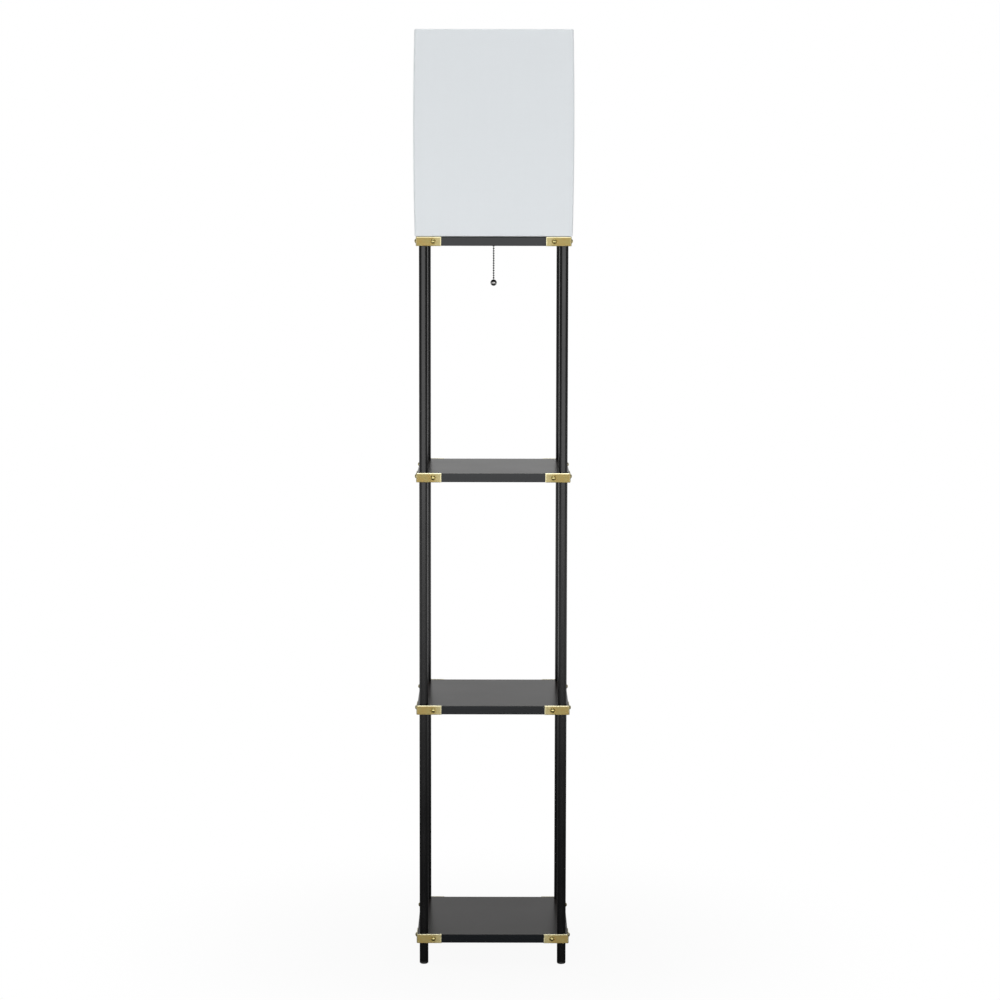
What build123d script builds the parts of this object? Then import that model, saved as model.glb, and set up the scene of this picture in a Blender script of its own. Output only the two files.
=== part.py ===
from build123d import *
from math import sqrt
import os

# Shelf floor lamp: four square panels on stacked round posts, brass corner brackets,
# a square fabric shade over a lamp holder, and a pull-chain switch under the lamp deck.
# Millimetres. Origin on the floor under the middle of the lamp, front towards -Y, +Z up.

# ---------------------------------------------------------------- driving dimensions
# panels and bays
panel_size = 260.0  # side of each square shelf and of the lamp deck
panel_thickness = 15.0
panel_corner_relief = 0.2  # how much rounder a panel's corner is than the bracket's inside
panel_edge_break = 0.8  # small bevel round the top and bottom of each panel
bay_pitch = 400.0  # from one panel's top to the next one's
leg_clearance = 39.0  # floor to the underside of the bottom shelf
bay_count = 3

# posts, with the threaded inserts and studs that join them through the panels
post_diameter = 15.0
post_wall = 1.0
post_inset = 11.25  # panel edge to post axis
insert_length = 14.0
insert_fit = 0.05  # radial clearance of an insert or plug in its tube
stud_diameter = 6.0
stud_grip = 12.0  # how far a stud or bolt reaches into an insert
thread_fit = 0.05  # radial clearance of any thread in its mate
stud_hole_fit = 0.25  # radial clearance of a stud in a panel
stud_bevel = 0.6
bolt_head_diameter = 11.5
bolt_head_height = 3.2
bolt_socket_width = 4.0  # across the flats of the key socket
bolt_socket_depth = 2.0

# foot glides
glide_height = 4.0
glide_plug_length = 10.0
glide_radius = 2.5  # rounded lower edge

# corner brackets and their dome-head rivets
bracket_arm = 43.0
bracket_thickness = 1.2
bracket_proud = 0.4  # how far a bracket stands above and below its panel
bracket_bend_radius = 2.5
bracket_bevel = 0.6
rivet_end_distance = 14.0  # rivet centre to the free end of the arm
rivet_head_diameter = 8.5
rivet_head_height = 3.0
rivet_shank_diameter = 3.0
rivet_shank_length = 11.0
rivet_hole_fit = 0.05

# shade
shade_gap = 1.0  # deck top to the shade's lower edge
shade_height = 345.0
shade_overhang = 3.0  # how far its upper and lower edges stand out past the deck
shade_bow = 2.0  # how far each wall stands out at half height
shade_wall = 1.0  # fabric with its liner
shade_corner_radius = 4.0
shade_wire_diameter = 3.0
wire_bend_radius = 3.0  # middle of the wire, at the corners of its frame
shade_wire_inset = 0.3  # edge of the fabric to the edge wire
wire_fit = 0.05
strut_diameter = 2.5
strut_corner_distance = 9.0  # corner of the wire frame to a strut
spider_weld_gap = 0.95
spider_nut_gap = 0.5  # ring nut to the arms of the spider
fitter_overhang = 2.0  # how far the fitter ring stands out from under the ring nut
fitter_thickness = 2.0
fitter_fit = 0.5

# lamp holder, screwed to the middle of the deck
nipple_diameter = 10.0
nipple_bore = 7.0
nipple_reach = 9.0  # into the holder cap
deck_hole_fit = 0.25
nut_width = 14.0
nut_height = 3.0
washer_diameter = 16.0
washer_thickness = 1.0
nut_recess_diameter = 18.0
nut_recess_depth = 5.0
holder_cap_diameter = 34.0
holder_cap_height = 14.0
holder_cap_round = 3.0
holder_diameter = 39.0
holder_height = 58.0  # deck top to the mouth
holder_wall = 3.0
holder_fit = 0.1
shoulder_diameter = 46.0
shoulder_height = 42.0  # deck top to the face that the shade's fitter rests on
shoulder_thickness = 3.0
ring_nut_diameter = 52.0
ring_nut_height = 7.0
ring_nut_lobes = 12
ring_nut_lobe_depth = 1.2
insulator_floor = 14.0
insulator_wire_hole = 4.0
screw_shell_wall = 0.4
screw_shell_setback = 3.0  # mouth of the holder to the edge of the screw shell
contact_width = 5.0
contact_thickness = 0.5
contact_foot = 5.0
contact_rise = 4.2
contact_tongue = 5.0
contact_gap = 0.3

# bulb with a 26 mm screw cap
bulb_length = 108.0
bulb_radius = 30.0
bulb_neck_radius = 14.5
bulb_rim_radius = 25.0
bulb_wall = 1.4
bulb_cap_diameter = 25.0
bulb_cap_wall = 0.4
bulb_cap_height = 25.0  # tip to the foot of the housing
bulb_cap_clearance = 0.35
bulb_tip_diameter = 9.0
bulb_tip_height = 1.5
bulb_insulator_height = 3.5
bulb_plug_length = 12.0

# pull-chain switch on the deck, in front of the holder
switch_setback = 45.0  # lamp axis to switch axis
switch_width = 22.0
switch_depth = 26.0
switch_wall = 3.0
switch_roof = 2.0
switch_round = 2.0
switch_bore = 17.0
stem_bore = 4.8
stem_flange_diameter = 13.0
stem_flange_thickness = 1.0
stem_mouth_bevel = 0.8
chain_travel = 10.0
plunger_fit = 0.4
plunger_thickness = 2.5
plunger_rod_diameter = 3.8
rotor_gap = 0.5
rotor_thickness = 3.0
rotor_teeth = 8
rotor_tooth_depth = 1.5
spring_wire = 0.7
spring_diameter = 10.0
spring_turns = 5
spring_seat_gap = 0.1
lead_diameter = 2.2
lead_spacing = 8.0
lead_height = 7.0  # deck top to the leads

# ball chain
bead_diameter = 3.2
bead_wall = 0.3
bead_hole = 1.2
link_gap = 1.0
link_diameter = 0.9
link_head_diameter = 1.8
link_head_thickness = 0.4
link_head_offset = 0.9  # bead centre to the outer face of a link's head
swivel_gap = 0.3
chain_pivot_drop = 2.0  # deck underside to the bead that the chain swings from
anchor_beads = 4
hanging_beads = 13
pull_ball_diameter = 11.0
ball_socket_diameter = 2.1
ball_socket_depth = 2.0

# cord inlet at the back of the deck
grommet_inset = 35.0  # rear edge of the deck to the bush's axis
grommet_bore = 7.0
grommet_wall = 2.4
grommet_flange_width = 2.5
grommet_flange_thickness = 1.4
grommet_fit = 0.05

# ---------------------------------------------------------------- worked-out places
panel_corner_radius = bracket_bend_radius - bracket_thickness + panel_corner_relief
post_axis = panel_size / 2 - post_inset
bracket_face = panel_size / 2 + bracket_thickness
level_tops = [leg_clearance + panel_thickness + level * bay_pitch for level in range(bay_count + 1)]
deck_top = level_tops[-1]
deck_underside = deck_top - panel_thickness
shade_bottom = deck_top + shade_gap
shade_top = shade_bottom + shade_height
shade_middle = (shade_bottom + shade_top) / 2
shade_width = panel_size + 2 * shade_overhang
shade_arc_radius = ((shade_height / 2) ** 2 + shade_bow ** 2) / (2 * shade_bow)
chain_pivot_z = deck_underside - chain_pivot_drop
bead_pitch = bead_diameter + link_gap
bulb_tip_z = deck_top + holder_height - bulb_cap_height
grommet_setback = panel_size / 2 - grommet_inset

LOW = (Align.CENTER, Align.CENTER, Align.MIN)
HIGH = (Align.CENTER, Align.CENTER, Align.MAX)
LEVELS = ["bottom_shelf", "middle_shelf", "upper_shelf", "lamp_deck"]
BAYS = ["lower", "middle", "upper"]
CORNERS = {
    "front_left": (-post_axis, -post_axis),
    "front_right": (post_axis, -post_axis),
    "rear_right": (post_axis, post_axis),
    "rear_left": (-post_axis, post_axis),
}


# ---------------------------------------------------------------- shared shapes
def rod(radius, z_low, z_high):
    """Round bar on the Z axis."""
    return Pos(0, 0, z_low) * Cylinder(radius, z_high - z_low, align=LOW)


def tube(radius, bore_radius, z_low, z_high):
    """Round bar with a hole right through."""
    return rod(radius, z_low, z_high) - rod(bore_radius, z_low, z_high)


def group(solids):
    """Like pieces that share one node, each still a solid of its own."""
    return Compound(list(solids))


# ---------------------------------------------------------------- panels and posts
def rivet_spots():
    """Places of the two rivets of the front left bracket, outward directions along +Z before each turn."""
    along = -bracket_face + bracket_arm - rivet_end_distance
    front = Pos(along, -bracket_face, 0) * Rot(90, 0, 0)
    side = Pos(-bracket_face, along, 0) * Rot(0, -90, 0)
    return [front, side]


def around(shape_at_front_left):
    """The same thing at all four corners, by quarter turns about the lamp's axis."""
    return [Rot(0, 0, 90 * quarter) * shape_at_front_left for quarter in range(4)]


def panel():
    """Square board, its top at Z = 0, with the stud holes and the pilot holes of the rivets."""
    board = Box(panel_size, panel_size, panel_thickness, align=HIGH)
    board = fillet(board.edges().filter_by(Axis.Z), panel_corner_radius)
    rims = board.edges().group_by(Axis.Z)
    board = chamfer(rims[0] + rims[-1], panel_edge_break)
    stud_hole = rod(stud_diameter / 2 + stud_hole_fit, -panel_thickness, 0)
    for x, y in CORNERS.values():
        board -= Pos(x, y, 0) * stud_hole
    pilot = rod(rivet_shank_diameter / 2 + rivet_hole_fit, -rivet_shank_length - rivet_hole_fit, 0)
    for spot in rivet_spots():
        for hole in around(Pos(0, 0, -panel_thickness / 2) * spot * pilot):
            board -= hole
    return board


def bolt_countersink():
    """Cone cut for a flat bolt head, its mouth at Z = 0."""
    return Pos(0, 0, -bolt_head_height) * Cone(
        stud_diameter / 2 + stud_hole_fit,
        bolt_head_diameter / 2 + stud_hole_fit,
        bolt_head_height,
        align=LOW,
    )


def lamp_deck():
    """Top panel, also bored for the bolts' heads, the holder's nipple, the switch and the cord."""
    board = panel()
    for x, y in CORNERS.values():
        board -= Pos(x, y, 0) * bolt_countersink()
    nipple_hole = rod(nipple_diameter / 2 + deck_hole_fit, -panel_thickness, 0)
    recess = rod(nut_recess_diameter / 2, -panel_thickness, -panel_thickness + nut_recess_depth)
    board -= nipple_hole + recess
    board -= Pos(0, -switch_setback, 0) * (nipple_hole + recess)
    cord_hole = rod(grommet_bore / 2 + grommet_wall + grommet_fit, -panel_thickness, 0)
    board -= Pos(0, grommet_setback, 0) * cord_hole
    return board


def post(z_low, z_high):
    return tube(post_diameter / 2, post_diameter / 2 - post_wall, z_low, z_high)


def insert():
    """Threaded plug pressed into a tube's end, lower face at Z = 0."""
    return tube(post_diameter / 2 - post_wall - insert_fit, stud_diameter / 2 + thread_fit, 0, insert_length)


def stud():
    """Headless screw through a panel into the posts above and below, panel top at Z = 0."""
    bar = rod(stud_diameter / 2, -panel_thickness - stud_grip, stud_grip)
    return chamfer(bar.edges(), stud_bevel)


def deck_bolt():
    """Flat-head bolt down through the deck into an upper post, head flush at Z = 0."""
    head = Pos(0, 0, -bolt_head_height) * Cone(
        stud_diameter / 2, bolt_head_diameter / 2, bolt_head_height, align=LOW
    )
    shank = rod(stud_diameter / 2, -panel_thickness - stud_grip, -bolt_head_height)
    shank = chamfer(shank.edges().sort_by(Axis.Z)[0], stud_bevel)
    socket = RegularPolygon(bolt_socket_width / 2, 6, major_radius=False)
    return head + shank - Pos(0, 0, -bolt_socket_depth) * extrude(socket, bolt_socket_depth)


def foot_glide():
    """Plastic end cap under a foot: rounded pad with a plug up into the tube."""
    pad = rod(post_diameter / 2, 0, glide_height)
    pad = fillet(pad.edges().sort_by(Axis.Z)[0], glide_radius)
    plug = rod(post_diameter / 2 - post_wall - insert_fit, glide_height, glide_height + glide_plug_length)
    return pad + plug


def bracket():
    """Bent strip round the front left corner of a panel whose top is at Z = 0."""
    height = panel_thickness + 2 * bracket_proud
    plan = Rectangle(bracket_arm, bracket_arm, align=Align.MIN)
    plan -= Pos(bracket_thickness, bracket_thickness) * Rectangle(bracket_arm, bracket_arm, align=Align.MIN)
    bend = plan.vertices().sort_by_distance((0, 0, 0))[0:2]
    plan = fillet(bend[1], bracket_bend_radius - bracket_thickness)
    plan = fillet(plan.vertices().sort_by_distance((0, 0, 0))[0], bracket_bend_radius)
    strip = extrude(plan, height)
    strip = chamfer(outer_edges(strip), bracket_bevel)
    strip = Pos(-bracket_face, -bracket_face, -panel_thickness - bracket_proud) * strip
    hole = Cylinder(rivet_shank_diameter / 2 + rivet_hole_fit, 4 * bracket_thickness)
    for spot in rivet_spots():
        strip -= Pos(0, 0, -panel_thickness / 2) * spot * hole
    return strip


def outer_edges(strip):
    """Edges round the outside face of a bracket that has its bend at the origin."""
    chosen = ShapeList()
    for edge in strip.edges():
        start, end = edge @ 0, edge @ 1
        on_face = min(start.X, start.Y) < 0.01 and min(end.X, end.Y) < 0.01
        upright = abs(start.Z - end.Z) > 0.01
        at_free_end = max(start.X, start.Y) > bracket_arm - 0.01
        if on_face and (at_free_end or not upright):
            chosen.append(edge)
    return chosen


def rivet():
    """Dome head on a plain shank, seat of the head at Z = 0, head towards +Z."""
    radius = rivet_head_diameter / 2
    dome_radius = (radius ** 2 + rivet_head_height ** 2) / (2 * rivet_head_height)
    dome = Pos(0, 0, rivet_head_height - dome_radius) * Sphere(dome_radius)
    dome &= Cylinder(2 * radius, rivet_head_height, align=LOW)
    return dome + rod(rivet_shank_diameter / 2, -rivet_shank_length, 0)


# ---------------------------------------------------------------- shade and its wire frame
def shade_half_width(z, inset):
    """Half the shade's width at height z, measured inset inside the fabric's outer face."""
    centre = shade_width / 2 + shade_bow - shade_arc_radius
    return centre + sqrt((shade_arc_radius - inset) ** 2 - (z - shade_middle) ** 2)


def shade_block(inset, overrun):
    """Square block with bowed walls and rounded corners, reaching overrun past both ends."""
    z_low = shade_bottom - overrun
    z_high = shade_top + overrun
    end = shade_half_width(z_low, inset)
    middle = shade_half_width(shade_middle, inset)
    outline = Curve() + [
        ThreePointArc((-end, z_low), (-middle, shade_middle), (-end, z_high)),
        Line((-end, z_high), (end, z_high)),
        ThreePointArc((end, z_high), (middle, shade_middle), (end, z_low)),
        Line((end, z_low), (-end, z_low)),
    ]
    across = extrude(make_face(Plane.XZ * outline), 2 * middle, both=True)
    along = extrude(make_face(Plane.YZ * outline), 2 * middle, both=True)
    block = across & along
    uprights = block.edges().filter_by(lambda edge: abs((edge @ 0).Z - (edge @ 1).Z) > shade_height / 2)
    return fillet(uprights, shade_corner_radius - inset)


def shade_cover():
    return shade_block(0, 0) - shade_block(shade_wall, 1)


def edge_ring(z):
    """Square of wire inside the shade's edge, at height z."""
    half = ring_half_width(z)
    path = (Pos(0, 0, z) * RectangleRounded(2 * half, 2 * half, wire_bend_radius)).wire()
    profile = Plane(origin=path @ 0, z_dir=path % 0) * Circle(shade_wire_diameter / 2)
    return sweep(profile, path=path)


def ring_half_width(z):
    return shade_half_width(z, shade_wall) - shade_wire_diameter / 2 - wire_fit


ring_low_z = shade_bottom + shade_wire_inset + shade_wire_diameter / 2
ring_high_z = shade_top - shade_wire_inset - shade_wire_diameter / 2


def strut():
    """Upright wire between the two rings, near the front left corner."""
    half = ring_half_width(ring_low_z)
    bar = rod(strut_diameter / 2, ring_low_z + shade_wire_diameter / 2, ring_high_z - shade_wire_diameter / 2)
    return Pos(-half, -half + strut_corner_distance, 0) * bar


def spider():
    """Fitter ring on the holder's shoulder, with four arms down to the corners of the lower wire ring."""
    bore = holder_diameter / 2 + fitter_fit
    seat = deck_top + shoulder_height
    ring = tube(ring_nut_diameter / 2 + fitter_overhang, bore, seat, seat + fitter_thickness)
    corner = ring_half_width(ring_low_z) - wire_bend_radius * (1 - sqrt(0.5))
    reach = corner * sqrt(2) - shade_wire_diameter / 2 - spider_weld_gap
    inner = Vector(ring_nut_diameter / 2 + spider_nut_gap, 0, seat + fitter_thickness / 2)
    outer = Vector(reach, 0, ring_low_z)
    slope = inner - outer
    arm = Plane(origin=outer, z_dir=slope) * Cylinder(shade_wire_diameter / 2, slope.length, align=LOW)
    for quarter in range(4):
        ring += Rot(0, 0, 45 + 90 * quarter) * arm
    return ring


# ---------------------------------------------------------------- lamp holder
def nipple():
    """Threaded tube that ties the holder to the deck."""
    low = deck_underside + nut_recess_depth - washer_thickness - nut_height
    return tube(nipple_diameter / 2, nipple_bore / 2, low, deck_top + nipple_reach)


def deck_washer():
    """Washer in the recess under the deck."""
    top = deck_underside + nut_recess_depth
    return tube(washer_diameter / 2, nipple_diameter / 2 + deck_hole_fit, top - washer_thickness, top)


def deck_nut():
    """Hexagon nut under that washer."""
    top = deck_underside + nut_recess_depth - washer_thickness
    body = extrude(RegularPolygon(nut_width / 2, 6, major_radius=False), nut_height)
    body = Pos(0, 0, top - nut_height) * body
    return body - rod(nipple_diameter / 2 + thread_fit, top - nut_height, top)


def holder_cap():
    top = deck_top + holder_cap_height
    body = rod(holder_cap_diameter / 2, deck_top, top)
    body = fillet(body.edges().sort_by(Axis.Z)[0], holder_cap_round)
    return body - rod(nipple_diameter / 2 + thread_fit, deck_top, top)


def holder_shell():
    low = deck_top + holder_cap_height
    seat = deck_top + shoulder_height
    body = rod(holder_diameter / 2, low, deck_top + holder_height)
    body += rod(shoulder_diameter / 2, seat - shoulder_thickness, seat)
    return body - rod(holder_diameter / 2 - holder_wall, low, deck_top + holder_height)


def screw_shell_radius():
    return bulb_cap_diameter / 2 + bulb_cap_clearance


def holder_insulator():
    """Cup inside the shell: a thick floor for the contact and a wall round the screw shell."""
    low = deck_top + holder_cap_height
    top = deck_top + holder_height - screw_shell_setback
    outer = holder_diameter / 2 - holder_wall - holder_fit
    well = rod(screw_shell_radius() + screw_shell_wall + holder_fit, low + insulator_floor, top)
    wire_hole = Pos(-nipple_bore, 0, 0) * rod(insulator_wire_hole / 2, low, low + insulator_floor)
    return rod(outer, low, top) - well - wire_hole


def holder_screw_shell():
    low = deck_top + holder_cap_height + insulator_floor
    top = deck_top + holder_height - screw_shell_setback
    return tube(screw_shell_radius() + screw_shell_wall, screw_shell_radius(), low, top)


def holder_centre_contact():
    """Bent spring strip on the insulator's floor, its tongue just under the bulb's tip."""
    floor = deck_top + holder_cap_height + insulator_floor
    top = min(contact_rise, bulb_tip_z - contact_gap - floor - contact_thickness)
    foot_end = -contact_tongue / 2 - top
    lower = [
        (foot_end - contact_foot, 0),
        (foot_end, 0),
        (-contact_tongue / 2, top),
        (contact_tongue / 2, top),
    ]
    upper = [(x, z + contact_thickness) for x, z in reversed(lower)]
    side = make_face(Plane.XZ * Polyline(*lower, *upper, close=True))
    return Pos(0, 0, floor) * extrude(side, contact_width / 2, both=True)


def shade_ring_nut():
    """Lobed nut that clamps the fitter ring down on the shoulder."""
    low = deck_top + shoulder_height + fitter_thickness
    body = rod(ring_nut_diameter / 2, low, low + ring_nut_height)
    for lobe in range(ring_nut_lobes):
        notch = Pos(ring_nut_diameter / 2, 0, 0) * rod(ring_nut_lobe_depth, low, low + ring_nut_height)
        body -= Rot(0, 0, lobe * 360 / ring_nut_lobes) * notch
    return body - rod(holder_diameter / 2 + thread_fit, low, low + ring_nut_height)


# ---------------------------------------------------------------- bulb
def bulb_tip_contact():
    body = rod(bulb_tip_diameter / 2, 0, bulb_tip_height)
    body = fillet(body.edges().sort_by(Axis.Z)[0], bulb_tip_height / 2)
    return Pos(0, 0, bulb_tip_z) * body


def bulb_cap_insulator():
    body = Cone(bulb_tip_diameter / 2, bulb_cap_diameter / 2, bulb_insulator_height, align=LOW)
    return Pos(0, 0, bulb_tip_z + bulb_tip_height) * body


def bulb_cap():
    """Screw cap of the bulb, here without its thread's relief."""
    low = bulb_tip_z + bulb_tip_height + bulb_insulator_height
    radius = bulb_cap_diameter / 2
    return tube(radius, radius - bulb_cap_wall, low, bulb_tip_z + bulb_cap_height)


def bulb_globe_centre():
    return bulb_tip_z + bulb_length - bulb_radius


def bulb_rim_z():
    return bulb_globe_centre() - sqrt(bulb_radius ** 2 - bulb_rim_radius ** 2)


def bulb_housing():
    """Tapered plastic body between the cap and the globe, hollow, with a plug into the cap."""
    foot = bulb_tip_z + bulb_cap_height
    height = bulb_rim_z() - foot
    body = Pos(0, 0, foot) * Cone(bulb_neck_radius, bulb_rim_radius, height, align=LOW)
    hollow = Pos(0, 0, foot + bulb_wall) * Cone(
        bulb_neck_radius - bulb_wall, bulb_rim_radius - bulb_wall, height - bulb_wall, align=LOW
    )
    plug = rod(bulb_cap_diameter / 2 - bulb_cap_wall - holder_fit, foot - bulb_plug_length, foot)
    return body - hollow + plug


def bulb_globe():
    """Diffuser: a sphere's shell, cut off level where it meets the housing."""
    shell = Sphere(bulb_radius) - Sphere(bulb_radius - bulb_wall)
    shell = Pos(0, 0, bulb_globe_centre()) * shell
    keep = rod(2 * bulb_radius, bulb_rim_z(), bulb_tip_z + 2 * bulb_length)
    return shell & keep


# ---------------------------------------------------------------- pull-chain switch
switch_floor = deck_top + switch_wall
plunger_low_z = switch_floor + stem_flange_thickness + chain_travel + (spring_turns + 1) * spring_wire
rotor_low_z = plunger_low_z + plunger_thickness + rotor_gap
switch_ceiling = rotor_low_z + rotor_thickness + rotor_gap


def at_switch(shape):
    return Pos(0, -switch_setback, 0) * shape


def switch_housing():
    height = switch_ceiling + switch_roof - deck_top
    body = Pos(0, 0, deck_top) * Box(switch_width, switch_depth, height, align=LOW)
    body = fillet(body.edges(), switch_round)
    body -= rod(switch_bore / 2, switch_floor, switch_ceiling)
    return at_switch(body - rod(nipple_diameter / 2 + thread_fit, deck_top, switch_floor))


def switch_stem():
    """Threaded tube through the deck that the chain runs in, with a flange inside the housing."""
    low = deck_underside + nut_recess_depth - washer_thickness - nut_height
    body = rod(nipple_diameter / 2, low, switch_floor)
    body += rod(stem_flange_diameter / 2, switch_floor, switch_floor + stem_flange_thickness)
    body -= rod(stem_bore / 2, low, switch_floor + stem_flange_thickness)
    mouth = Pos(0, 0, low) * Cone(
        stem_bore / 2 + stem_mouth_bevel, stem_bore / 2, stem_mouth_bevel, align=LOW
    )
    return at_switch(body - mouth)


def top_anchor_bead_z():
    return chain_pivot_z + anchor_beads * bead_pitch


def switch_plunger():
    """Disc on the return spring, with a rod down to the top of the chain."""
    disc = rod(switch_bore / 2 - plunger_fit, plunger_low_z, plunger_low_z + plunger_thickness)
    rod_low = top_anchor_bead_z() + bead_diameter / 2 + link_gap
    body = disc + rod(plunger_rod_diameter / 2, rod_low, plunger_low_z)
    return at_switch(body - rod(ball_socket_diameter / 2, rod_low, rod_low + ball_socket_depth))


def switch_rotor():
    """Ratchet wheel over the plunger."""
    body = rod(switch_bore / 2 - plunger_fit, rotor_low_z, rotor_low_z + rotor_thickness)
    notch = rod(rotor_tooth_depth + plunger_fit, rotor_low_z, rotor_low_z + rotor_tooth_depth)
    for tooth in range(rotor_teeth):
        body -= Rot(0, 0, tooth * 360 / rotor_teeth) * Pos(switch_bore / 2, 0, 0) * notch
    return at_switch(body)


def switch_spring():
    """Return spring between the stem's flange and the plunger, at its length at rest."""
    low = switch_floor + stem_flange_thickness + spring_wire / 2 + spring_seat_gap
    height = plunger_low_z - spring_wire / 2 - spring_seat_gap - low
    path = Pos(0, 0, low) * Helix(height / spring_turns, height, (spring_diameter - spring_wire) / 2)
    profile = Plane(origin=path @ 0, z_dir=path % 0) * Circle(spring_wire / 2)
    return at_switch(sweep(profile, path=path, is_frenet=True))


def switch_leads():
    """Two insulated wires from the switch to the holder's cap."""
    start = -switch_setback + switch_depth / 2
    length = -holder_cap_diameter / 2 - start
    wire = Plane(origin=(0, start, deck_top + lead_height), z_dir=(0, 1, 0)) * Cylinder(
        lead_diameter / 2, length, align=LOW
    )
    return group([Pos(side * lead_spacing / 2, 0, 0) * wire for side in (-1, 1)])


# ---------------------------------------------------------------- ball chain
def bead(z):
    """Hollow bead with a hole at its top and bottom."""
    ball = Sphere(bead_diameter / 2) - Sphere(bead_diameter / 2 - bead_wall)
    ball -= Cylinder(bead_hole / 2, 2 * bead_diameter)
    return at_switch(Pos(0, 0, z) * ball)


def link(z_low, z_high):
    """Dumb-bell pin whose two heads have their outer faces at these heights."""
    pin = rod(link_diameter / 2, z_low, z_high)
    pin += rod(link_head_diameter / 2, z_low, z_low + link_head_thickness)
    pin += rod(link_head_diameter / 2, z_high - link_head_thickness, z_high)
    return at_switch(pin)


def half_link(z_head, z_end):
    """Pin with one head, at z_head; its plain end stops short of the swivel bead."""
    towards_end = link_head_thickness if z_end > z_head else -link_head_thickness
    low, high = sorted((z_head, z_end))
    head_low, head_high = sorted((z_head, z_head + towards_end))
    pin = rod(link_diameter / 2, low, high) + rod(link_head_diameter / 2, head_low, head_high)
    return at_switch(pin)


def links_between(centres):
    """Pins that join neighbouring beads, whose centres run downwards."""
    pins = []
    for upper, lower in zip(centres, centres[1:]):
        pins.append(link(lower + link_head_offset - link_head_thickness,
                         upper - link_head_offset + link_head_thickness))
    return pins


def chain_anchor():
    """Beads inside the stem, pinned to the plunger above and stopping short of the swivel bead."""
    centres = [chain_pivot_z + step * bead_pitch for step in range(anchor_beads, 0, -1)]
    rod_low = centres[0] + bead_diameter / 2 + link_gap
    top_pin = link(centres[0] + link_head_offset - link_head_thickness, rod_low + ball_socket_depth / 2)
    last_pin = half_link(centres[-1] - link_head_offset + link_head_thickness,
                         chain_pivot_z + bead_diameter / 2 + swivel_gap)
    return group([bead(z) for z in centres] + links_between(centres) + [top_pin, last_pin])


def pull_chain():
    """Hanging beads below the swivel bead, down to the pull ball."""
    centres = [chain_pivot_z - step * bead_pitch for step in range(1, hanging_beads + 1)]
    first_pin = half_link(centres[0] + link_head_offset - link_head_thickness,
                          chain_pivot_z - bead_diameter / 2 - swivel_gap)
    ball_top = centres[-1] - bead_diameter / 2 - link_gap
    last_pin = link(ball_top - ball_socket_depth / 2, centres[-1] - link_head_offset + link_head_thickness)
    return group([bead(z) for z in centres] + links_between(centres) + [first_pin, last_pin])


def pull_ball():
    top = chain_pivot_z - hanging_beads * bead_pitch - bead_diameter / 2 - link_gap
    ball = Pos(0, 0, top - pull_ball_diameter / 2) * Sphere(pull_ball_diameter / 2)
    return at_switch(ball - rod(ball_socket_diameter / 2, top - ball_socket_depth, top + link_gap))


# ---------------------------------------------------------------- cord inlet
def cord_grommet():
    """Rubber bush through the deck with a lip above and below it."""
    outer = grommet_bore / 2 + grommet_wall
    lip = outer + grommet_flange_width
    body = rod(outer, deck_underside, deck_top)
    body += rod(lip, deck_top, deck_top + grommet_flange_thickness)
    body += rod(lip, deck_underside - grommet_flange_thickness, deck_underside)
    bore = rod(grommet_bore / 2, deck_underside - grommet_flange_thickness, deck_top + grommet_flange_thickness)
    return Pos(0, grommet_setback, 0) * (body - bore)


# ---------------------------------------------------------------- assembly
def shelves_and_posts():
    parts = {}
    board = panel()
    for name, top in zip(LEVELS, level_tops):
        parts[name] = Pos(0, 0, top) * (lamp_deck() if name == "lamp_deck" else board)
    for bay, top in zip(BAYS, level_tops):
        for corner, (x, y) in CORNERS.items():
            parts[f"{bay}_post_{corner}"] = Pos(x, y, 0) * post(top, top + bay_pitch - panel_thickness)
    for corner, (x, y) in CORNERS.items():
        parts[f"foot_{corner}"] = Pos(x, y, 0) * post(glide_height, leg_clearance)
    parts["foot_glides"] = group(Pos(x, y, 0) * foot_glide() for x, y in CORNERS.values())
    return parts


def fasteners():
    insert_bottoms = [leg_clearance - insert_length]
    for top in level_tops[:-1]:
        insert_bottoms += [top, top + bay_pitch - panel_thickness - insert_length]
    spots = list(CORNERS.values())
    screw, plug, bolt = stud(), insert(), deck_bolt()
    return {
        "post_inserts": group(Pos(x, y, z) * plug for z in insert_bottoms for x, y in spots),
        "joint_studs": group(Pos(x, y, z) * screw for z in level_tops[:-1] for x, y in spots),
        "deck_bolts": group(Pos(x, y, deck_top) * bolt for x, y in spots),
    }


def corner_hardware():
    parts = {}
    corner_piece, pin = bracket(), rivet()
    pins = []
    for name, top in zip(LEVELS, level_tops):
        parts[f"{name}_brackets"] = group(around(Pos(0, 0, top) * corner_piece))
        for spot in rivet_spots():
            pins += around(Pos(0, 0, top - panel_thickness / 2) * spot * pin)
    parts["bracket_rivets"] = group(pins)
    return parts


def shade_parts():
    return {
        "shade_cover": shade_cover(),
        "shade_top_ring": edge_ring(ring_high_z),
        "shade_bottom_ring": edge_ring(ring_low_z),
        "shade_struts": group(around(strut())),
        "shade_spider": spider(),
        "shade_ring_nut": shade_ring_nut(),
    }


def holder_parts():
    return {
        "holder_nipple": nipple(),
        "deck_washers": group([deck_washer(), at_switch(deck_washer())]),
        "deck_nuts": group([deck_nut(), at_switch(deck_nut())]),
        "holder_cap": holder_cap(),
        "holder_shell": holder_shell(),
        "holder_insulator": holder_insulator(),
        "holder_screw_shell": holder_screw_shell(),
        "holder_centre_contact": holder_centre_contact(),
        "cord_grommet": cord_grommet(),
    }


def bulb_parts():
    return {
        "bulb_tip_contact": bulb_tip_contact(),
        "bulb_cap_insulator": bulb_cap_insulator(),
        "bulb_cap": bulb_cap(),
        "bulb_housing": bulb_housing(),
        "bulb_globe": bulb_globe(),
    }


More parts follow.
